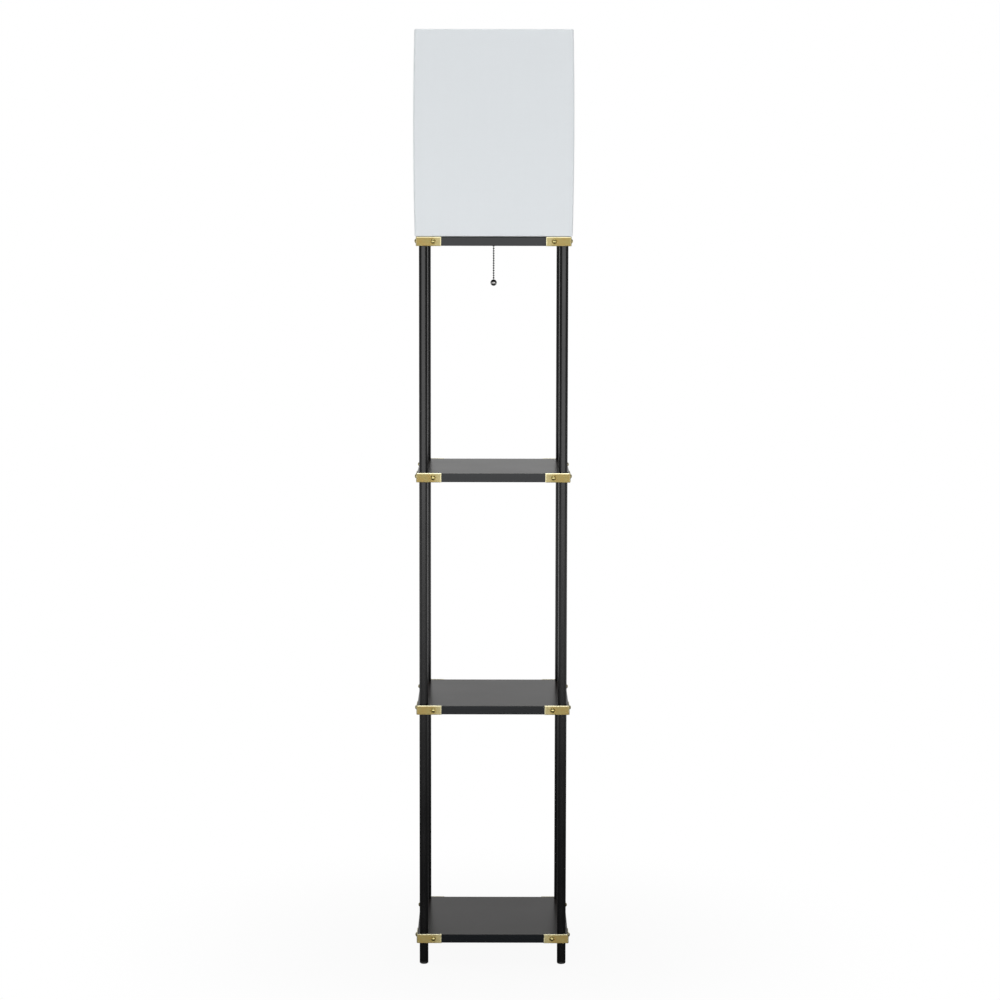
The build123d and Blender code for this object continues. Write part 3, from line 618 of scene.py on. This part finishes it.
def band_round_shade(name, inset, z, shade, steps, lift=0.0):
    """A band carried round the shade: its profile is inset behind the outer face at heights z.

    lift moves each step's line outwards, by less and less where the profile turns in behind the face.
    """
    rows = []
    for depth, height in zip(inset, z):
        half = shade_half_width(height, shade)
        point, normal = rounded_square(steps, half, shade.corner_radius)
        outwards = np.broadcast_to(lift * max(0.0, 1.0 - depth / shade.wall) - depth, len(steps))
        rows.append(np.column_stack([point + outwards[:, None] * normal, np.full(len(steps), height)]))
    points = np.array(rows)
    around = walk(points[len(points) // 2])
    up = np.concatenate([[0.0], np.cumsum(np.hypot(np.diff(inset), np.diff(z)))])
    uv = np.stack(np.meshgrid(around, up), axis=-1)
    return sheet_mesh(name, points, uv)


def hem_turn(centre_inset, centre_z, wide, tall, flap, sign, steps=10):
    """Profile of a hem: over the wire in half an oval, then back against the liner for the length of the flap."""
    angle = np.linspace(0.0, np.pi, steps)
    inset = centre_inset - wide * np.cos(angle)
    height = centre_z + sign * tall * np.sin(angle)
    tuck = np.linspace(0.0, 1.0, 7)[1:]
    smooth = tuck * tuck * (3.0 - 2.0 * tuck)
    inset = np.concatenate([inset, inset[-1] + (0.0018 - inset[-1]) * np.minimum(1.0, 1.6 * smooth)])
    height = np.concatenate([height, centre_z - sign * flap * tuck])
    return inset, height


def wound_coil(name, box, turns, wire, steps_per_turn=32, sides=12):
    """Closed tube wound as a helix that fills a box from its floor to its top.

    The line's point at the angle t is the middle of the box + radius (cos t, sin t), at a height that grows evenly
    with t. The skin lies half a wire from the line, at outwards cos a + across sin a, where outwards is (cos t, sin t)
    and across is at right angles to it and to the line.
    """
    low, high = np.array(box[0]), np.array(box[1])
    middle = 0.5 * (low + high)
    radius = 0.5 * (high[0] - low[0] - wire)
    climb = (high[2] - low[2] - wire) / (2.0 * np.pi * turns)
    turn = np.linspace(0.0, 2.0 * np.pi * turns, int(steps_per_turn * turns) + 1)
    flat = np.zeros(len(turn))
    outwards = np.column_stack([np.cos(turn), np.sin(turn), flat])
    along = np.column_stack([-radius * np.sin(turn), radius * np.cos(turn), flat + climb])
    across = np.cross(along / np.hypot(radius, climb), outwards)
    line = np.column_stack([flat + middle[0], flat + middle[1], low[2] + 0.5 * wire + climb * turn]) + radius * outwards
    ring = np.linspace(0.0, 2.0 * np.pi, sides, endpoint=False)[None, :, None]
    skin = np.cos(ring) * outwards[:, None, :] + np.sin(ring) * across[:, None, :]
    coil = sheet_mesh(name, line[:, None, :] + 0.5 * wire * skin)
    form = bmesh.new()
    form.from_mesh(coil.data)
    bmesh.ops.holes_fill(form, edges=form.edges)
    bmesh.ops.recalc_face_normals(form, faces=form.faces)
    form.to_mesh(coil.data)
    form.free()
    return coil


# ---------------------------------------------------------------- operators
class LAMP_OT_effects(bpy.types.Operator):
    """Builds the surface effects that several finishes share"""

    bl_idname = "lamp.effects"
    bl_label = "Surface Effects"

    def execute(self, context):
        grain_effect()
        brush_effect()
        edge_effect()
        rim_effect()
        weave_effect()
        return {"FINISHED"}


class LAMP_OT_boards(bpy.types.Operator):
    """Lacquers the three shelves and the lamp deck"""

    bl_idname = "lamp.boards"
    bl_label = "Boards"

    def execute(self, context):
        finish_nodes(LEVELS, lacquered("satin_black_board", context.scene.lamp_black))
        return {"FINISHED"}


class LAMP_OT_posts(bpy.types.Operator):
    """Powder coats the posts and feet"""

    bl_idname = "lamp.posts"
    bl_label = "Posts and Feet"

    def execute(self, context):
        look = context.scene.lamp_black
        coat = grained(
            "black_powder_coat", look.tube_colour, look.tube_roughness, look.powder_grain, 0.000008,
            gloss=look.tube_gloss, spread=0.1,
        )
        finish_nodes(POSTS + FEET, coat)
        glide = grained("black_glide", (0.018, 0.018, 0.018), 0.5, 0.0009, 0.00001, gloss=0.4)
        finish_nodes(["foot_glides"], glide)
        return {"FINISHED"}


class LAMP_OT_brass(bpy.types.Operator):
    """Brushes the brass brackets and polishes their rivets"""

    bl_idname = "lamp.brass"
    bl_label = "Brass Corners"

    def execute(self, context):
        look = context.scene.lamp_brass
        finish_nodes([f"{level}_brackets" for level in LEVELS], brushed("satin_brass_plate", look))
        dome = grained(
            "polished_brass_rivet", look.rivet_colour, look.rivet_roughness, 0.0006, 0.000003, metallic=1.0
        )
        finish_nodes(["bracket_rivets"], dome)
        return {"FINISHED"}


class LAMP_OT_fasteners(bpy.types.Operator):
    """Finishes the zinc plated inserts, studs, bolts, nuts and washers"""

    bl_idname = "lamp.fasteners"
    bl_label = "Fasteners"

    def execute(self, context):
        look = context.scene.lamp_fittings
        zinc = grained("zinc_plated_steel", look.steel_colour, 0.32, 0.0012, 0.000004, metallic=1.0, spread=0.06)
        names = ["post_inserts", "joint_studs", "holder_nipple", "deck_nuts", "deck_washers", "switch_stem"]
        finish_nodes(names, zinc)
        black = grained("black_oxide_steel", (0.045, 0.045, 0.047), 0.35, 0.0008, 0.000004, metallic=1.0)
        finish_nodes(["deck_bolts"], black)
        return {"FINISHED"}


class LAMP_OT_shade(bpy.types.Operator):
    """Sews the shade: cloth turned over both wires and lapped in a seam at the back, with a liner behind it"""

    bl_idname = "lamp.shade"
    bl_label = "Shade"

    def execute(self, context):
        shade = context.scene.lamp_shade
        low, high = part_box("shade_cover")
        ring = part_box("shade_top_ring")
        wire = 0.5 * (ring[1][2] - ring[0][2])
        wire_inset = high[0] - shade.bow - ring[1][0] + wire
        oval = wire + shade.cloth_thickness
        top_centre = high[2] - oval
        bottom_centre = low[2] + oval
        steps = square_steps(8, 7)
        half_side = high[0] - shade.corner_radius
        seamed, past_middle = seam_steps(steps, half_side, shade.seam_lap, shade.cloth_thickness)
        lift = seam_lift(past_middle, shade.seam_lap, shade.cloth_thickness, shade.cloth_thickness)

        top_inset, top_z = hem_turn(wire_inset, top_centre, wire_inset, oval, shade.hem_turn, 1.0)
        bottom_inset, bottom_z = hem_turn(wire_inset, bottom_centre, wire_inset, oval, shade.hem_turn, -1.0)
        wall_z = np.linspace(bottom_centre, top_centre, 25)[1:-1]
        inset = np.concatenate([bottom_inset[::-1], np.zeros(len(wall_z)), top_inset])
        height = np.concatenate([bottom_z[::-1], wall_z, top_z])
        cloth = band_round_shade("shade_cloth", inset, height, shade, seamed, lift)
        thicken(cloth, shade.cloth_thickness)

        liner_z = np.linspace(low[2] + 0.004, high[2] - 0.004, 24)
        liner_inset = np.full(len(liner_z), shade.cloth_thickness + 0.00005)
        liner = band_round_shade("shade_liner", liner_inset, liner_z, shade, steps)
        thicken(liner, shade.wall - shade.cloth_thickness - 0.0001)

        cotton = woven("cool_white_cotton", shade.cloth_colour, shade.thread_pitch, shade.thread_relief)
        cloth.data.materials.append(cotton)
        backing = grained("white_liner", shade.liner_colour, 0.45, 0.004, 0.00001, gloss=0.35, spread=0.02)
        liner.data.materials.append(backing)
        for piece in (cloth, liner):
            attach(piece, LAMP_BODY)
            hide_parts("shade_cover")
        return {"FINISHED"}


class LAMP_OT_shade_frame(bpy.types.Operator):
    """Enamels the shade's rings, struts and spider"""

    bl_idname = "lamp.shade_frame"
    bl_label = "Shade Wire Frame"

    def execute(self, context):
        look = context.scene.lamp_shade
        enamel = grained("white_enamel", look.wire_colour, 0.35, 0.0009, 0.000008, spread=0.03)
        finish_nodes(["shade_top_ring", "shade_bottom_ring", "shade_struts", "shade_spider"], enamel)
        return {"FINISHED"}


class LAMP_OT_holder(bpy.types.Operator):
    """Finishes the lamp holder, its contacts and the cord bush"""

    bl_idname = "lamp.holder"
    bl_label = "Lamp Holder"

    def execute(self, context):
        look = context.scene.lamp_fittings
        moulding = grained("black_phenolic", look.moulding_colour, 0.28, 0.0015, 0.000006, gloss=0.5)
        finish_nodes(["holder_cap", "holder_shell", "shade_ring_nut", "switch_housing", "bulb_cap_insulator"], moulding)
        porcelain = grained("white_porcelain", (0.82, 0.81, 0.78), 0.15, 0.003, 0.00001, coat=0.6, spread=0.02)
        finish_nodes(["holder_insulator"], porcelain)
        contact = grained("stamped_brass", (0.66, 0.5, 0.22), 0.25, 0.0008, 0.000004, metallic=1.0)
        finish_nodes(["holder_screw_shell", "holder_centre_contact"], contact)
        rubber = grained("black_rubber", (0.02, 0.02, 0.02), 0.7, 0.0008, 0.00002, gloss=0.3)
        finish_nodes(["cord_grommet"], rubber)
        return {"FINISHED"}


class LAMP_OT_bulb(bpy.types.Operator):
    """Finishes the unlit bulb"""

    bl_idname = "lamp.bulb"
    bl_label = "Bulb"

    def execute(self, context):
        look = context.scene.lamp_fittings
        opal = grained("opal_globe", look.bulb_colour, 0.42, 0.002, 0.000004, spread=0.01)
        finish_nodes(["bulb_globe"], opal)
        housing = grained("white_bulb_housing", (0.84, 0.84, 0.83), 0.4, 0.001, 0.000006, spread=0.02)
        finish_nodes(["bulb_housing"], housing)
        nickel = grained("nickel_cap", (0.66, 0.64, 0.6), 0.25, 0.001, 0.000004, metallic=1.0)
        finish_nodes(["bulb_cap", "bulb_tip_contact"], nickel)
        return {"FINISHED"}


class LAMP_OT_switch(bpy.types.Operator):
    """Finishes the inner pieces of the pull switch and its leads"""

    bl_idname = "lamp.switch"
    bl_label = "Pull Switch"

    def execute(self, context):
        nylon = grained("white_nylon", (0.8, 0.79, 0.75), 0.45, 0.001, 0.000008)
        finish_nodes(["switch_plunger", "switch_rotor"], nylon)
        insulation = grained("black_insulation", (0.025, 0.025, 0.025), 0.5, 0.001, 0.00001)
        finish_nodes(["switch_leads"], insulation)
        return {"FINISHED"}


class LAMP_OT_spring(bpy.types.Operator):
    """Winds the switch's return spring at its rest length; the real spring shortens as the chain is pulled"""

    bl_idname = "lamp.spring"
    bl_label = "Switch Spring"

    def execute(self, context):
        look = context.scene.lamp_fittings
        low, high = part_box("switch_spring")
        coil = wound_coil("switch_coil", (low, high), look.spring_turns, look.spring_wire)
        coil.data.materials.append(bpy.data.materials["zinc_plated_steel"])
        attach(coil, LAMP_BODY)
        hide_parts("switch_spring")
        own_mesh(coil)
        return {"FINISHED"}


class LAMP_OT_chain(bpy.types.Operator):
    """Plates the bead chain and polishes its ball"""

    bl_idname = "lamp.chain"
    bl_label = "Pull Chain"

    def execute(self, context):
        look = context.scene.lamp_fittings
        plating = grained("black_bead_finish", look.chain_colour, 0.35, 0.0006, 0.000003, gloss=0.5, spread=0.15)
        finish_nodes(["chain_anchor", "chain_swivel_bead", "pull_chain"], plating)
        nickel = grained("black_nickel_ball", look.ball_colour, look.ball_roughness, 0.002, 0.000001, metallic=1.0)
        finish_nodes(["pull_ball"], nickel)
        return {"FINISHED"}


class LAMP_OT_stage(bpy.types.Operator):
    """Sets up the pale floor, the soft panels and the camera"""

    bl_idname = "lamp.stage"
    bl_label = "Stage"

    def execute(self, context):
        studio = context.scene.lamp_studio
        context.scene.view_settings.view_transform = "Standard"
        white_room(studio)
        pale_floor()
        front_panels(studio)
        overhead = Vector((0.0, -0.35, 4.0))
        soft_panel("overhead_panel", overhead, Vector((0.0, -0.2, 1.0)), 1.6, 1.6, studio.top_radiance)
        low_fill = soft_panel(
            "low_fill_panel", Vector((0.0, -1.3, 0.45)), Vector((0.0, 0.0, 1.3)), 0.9, 0.5, studio.fill_radiance
        )
        low_fill.visible_glossy = False
        set_camera(studio)
        return {"FINISHED"}


def soft_panel(name, place, aim, width, height, radiance):
    """Rectangular soft light. Its power gives a surface brightness of radiance, where 1 is white."""
    light = bpy.data.lights.new(name, "AREA")
    light.shape = "RECTANGLE"
    light.size = width
    light.size_y = height
    light.energy = radiance * np.pi * width * height
    lamp = bpy.data.objects.new(name, light)
    direction = (aim - place).to_track_quat("-Z", "Y")
    lamp.matrix_world = Matrix.Translation(place) @ direction.to_matrix().to_4x4()
    bpy.context.scene.collection.objects.link(lamp)
    return lamp


def front_panels(studio, count=5):
    """Upright panels side by side on an arc round the lamp, so that each post mirrors one even band of light."""
    spacing = 2.0 * studio.arc_reach / count
    width = 2.0 * studio.arc_radius * np.tan(0.5 * spacing)
    middle = 0.08 + 0.5 * studio.panel_height
    for number in range(count):
        turn = (number - 0.5 * (count - 1)) * spacing
        place = Vector((studio.arc_radius * np.sin(turn), -studio.arc_radius * np.cos(turn), middle))
        aim = Vector((0.0, 0.0, middle))
        soft_panel(f"front_panel_{number + 1}", place, aim, width, studio.panel_height, studio.panel_radiance)


def ray_kinds(tree):
    """Light Path outputs: rays from the camera, reflected rays and refracted rays."""
    path = put(tree.nodes, "ShaderNodeLightPath")
    return [path.outputs[name] for name in ("Is Camera Ray", "Is Glossy Ray", "Is Transmission Ray")]


def smooth(tree, value, low, high, to_low, to_high):
    """Value that goes from to_low to to_high in an even S curve as the value goes from low to high."""
    fade = put(tree.nodes, "ShaderNodeMapRange", interpolation_type="SMOOTHSTEP")
    fill(fade, From_Min=low, From_Max=high, To_Min=to_low, To_Max=to_high)
    tree.links.new(value, fade.inputs["Value"])
    return fade.outputs["Result"]


def white_room(studio):
    """World that is white to the camera, and a soft room light on things, stronger from behind than from in front.

    Reflections see it white near the floor in front and behind, and dimmer at the sides and overhead, as between
    two dark curtains under a dark ceiling: the brightness goes up smoothly with how far the direction points along
    the line from front to back, and down with how far it points up.
    """
    world = bpy.data.worlds.new("studio_room")
    world.use_nodes = True
    bpy.context.scene.world = world
    tree = world.node_tree
    background = tree.nodes["Background"]
    background.inputs["Color"].default_value = (1.0, 1.0, 1.0, 1.0)
    camera, glossy, refracted = ray_kinds(tree)
    direction = put(tree.nodes, "ShaderNodeTexCoord")
    split = put(tree.nodes, "ShaderNodeSeparateXYZ")
    tree.links.new(direction.outputs["Generated"], split.inputs[0])
    curtain = smooth(tree, maths(tree, "ABSOLUTE", split.outputs["Y"]), 0.7, 0.95, 0.0, 1.0)
    ceiling = smooth(tree, split.outputs["Z"], 0.05, 0.37, 1.0, 0.0)
    bright = maths(tree, "MULTIPLY", maths(tree, "MULTIPLY", curtain, ceiling), 1.0 - studio.side_level)
    mirrored = maths(tree, "MULTIPLY", glossy, maths(tree, "ADD", bright, studio.side_level))
    direct = maths(tree, "MAXIMUM", camera, refracted)
    seen = maths(tree, "MAXIMUM", direct, glossy)
    soft = smooth(tree, split.outputs["Y"], -0.6, 0.6, studio.room_light, studio.back_light)
    room = maths(tree, "MULTIPLY", maths(tree, "SUBTRACT", 1.0, seen), soft)
    strength = maths(tree, "ADD", maths(tree, "MAXIMUM", direct, mirrored), room)
    tree.links.new(strength, background.inputs["Strength"])


def pale_floor(reach=8.0):
    """Floor that looks white from afar and keeps the lamp's shadow near its feet.

    The share of plain white grows with the distance from the lamp, sooner for the camera than for reflections.
    """
    corners = np.array([[[-reach, -reach, 0.0], [reach, -reach, 0.0]], [[-reach, reach, 0.0], [reach, reach, 0.0]]])
    floor = sheet_mesh("studio_floor", corners, around=False)
    made, shader = material("pale_floor", (0.42, 0.42, 0.42), 0.9, gloss=0.1)
    floor.data.materials.append(made)
    tree = made.node_tree
    white = put(tree.nodes, "ShaderNodeEmission")
    white.inputs["Color"].default_value = (1.0, 1.0, 1.0, 1.0)
    place = put(tree.nodes, "ShaderNodeTexCoord")
    away = put(tree.nodes, "ShaderNodeVectorMath", operation="LENGTH")
    tree.links.new(place.outputs["Object"], away.inputs[0])
    distance = away.outputs["Value"]
    camera, glossy, refracted = ray_kinds(tree)
    direct = maths(tree, "MAXIMUM", camera, refracted)
    plain = maths(tree, "MULTIPLY", direct, smooth(tree, distance, 0.15, 0.8, 0.94, 1.0))
    mirrored = maths(tree, "MULTIPLY", glossy, smooth(tree, distance, 0.8, 4.0, 0.75, 1.0))
    glow = maths(tree, "MAXIMUM", direct, smooth(tree, distance, 0.8, 4.0, 0.0, 1.0))
    tree.links.new(glow, white.inputs["Strength"])
    mix = put(tree.nodes, "ShaderNodeMixShader")
    tree.links.new(maths(tree, "MAXIMUM", plain, mirrored), mix.inputs["Fac"])
    tree.links.new(shader.outputs[0], mix.inputs[1])
    tree.links.new(white.outputs[0], mix.inputs[2])
    tree.links.new(mix.outputs[0], tree.nodes["Material Output"].inputs["Surface"])


def set_camera(studio):
    """The camera at the photograph's viewing angle."""
    lens = bpy.data.cameras.new("camera")
    lens.sensor_width = 36.0
    lens.lens = studio.focal_length
    lens.shift_x, lens.shift_y = studio.frame_shift
    camera = bpy.data.objects.new("camera", lens)
    tilt = Matrix.Rotation(0.5 * np.pi - studio.camera_pitch, 4, "X")
    roll = Matrix.Rotation(studio.camera_roll, 4, "Z")
    camera.matrix_world = Matrix.Translation(studio.camera_place) @ tilt @ roll
    bpy.context.scene.collection.objects.link(camera)
    bpy.context.scene.camera = camera


OPERATORS = (
    LAMP_OT_effects,
    LAMP_OT_boards,
    LAMP_OT_posts,
    LAMP_OT_brass,
    LAMP_OT_fasteners,
    LAMP_OT_shade,
    LAMP_OT_shade_frame,
    LAMP_OT_holder,
    LAMP_OT_bulb,
    LAMP_OT_switch,
    LAMP_OT_spring,
    LAMP_OT_chain,
    LAMP_OT_stage,
)


class LAMP_PT_sidebar(bpy.types.Panel):
    """Lists the lamp's pieces"""

    bl_label = "Shelf Floor Lamp"
    bl_idname = "LAMP_PT_sidebar"
    bl_space_type = "VIEW_3D"
    bl_region_type = "UI"
    bl_category = "Shelf Lamp"

    def draw(self, context):
        for operator in OPERATORS:
            self.layout.operator(operator.bl_idname)
        for name, group in GROUPS.items():
            section = self.layout.box()
            section.label(text=group.__doc__)
            for field in group.__annotations__:
                section.prop(getattr(context.scene, name), field)


def register():
    for group in GROUPS.values():
        bpy.utils.register_class(group)
    for operator in OPERATORS:
        bpy.utils.register_class(operator)
    bpy.utils.register_class(LAMP_PT_sidebar)
    for name, group in GROUPS.items():
        setattr(bpy.types.Scene, name, PointerProperty(type=group))


def unregister():
    for name in GROUPS:
        delattr(bpy.types.Scene, name)
    bpy.utils.unregister_class(LAMP_PT_sidebar)
    for operator in reversed(OPERATORS):
        bpy.utils.unregister_class(operator)
    for group in reversed(GROUPS.values()):
        bpy.utils.unregister_class(group)


def main():
    register()
    for operator in OPERATORS:
        family, action = operator.bl_idname.split(".")
        getattr(getattr(bpy.ops, family), action)()


if __name__ == "__main__":
    main()
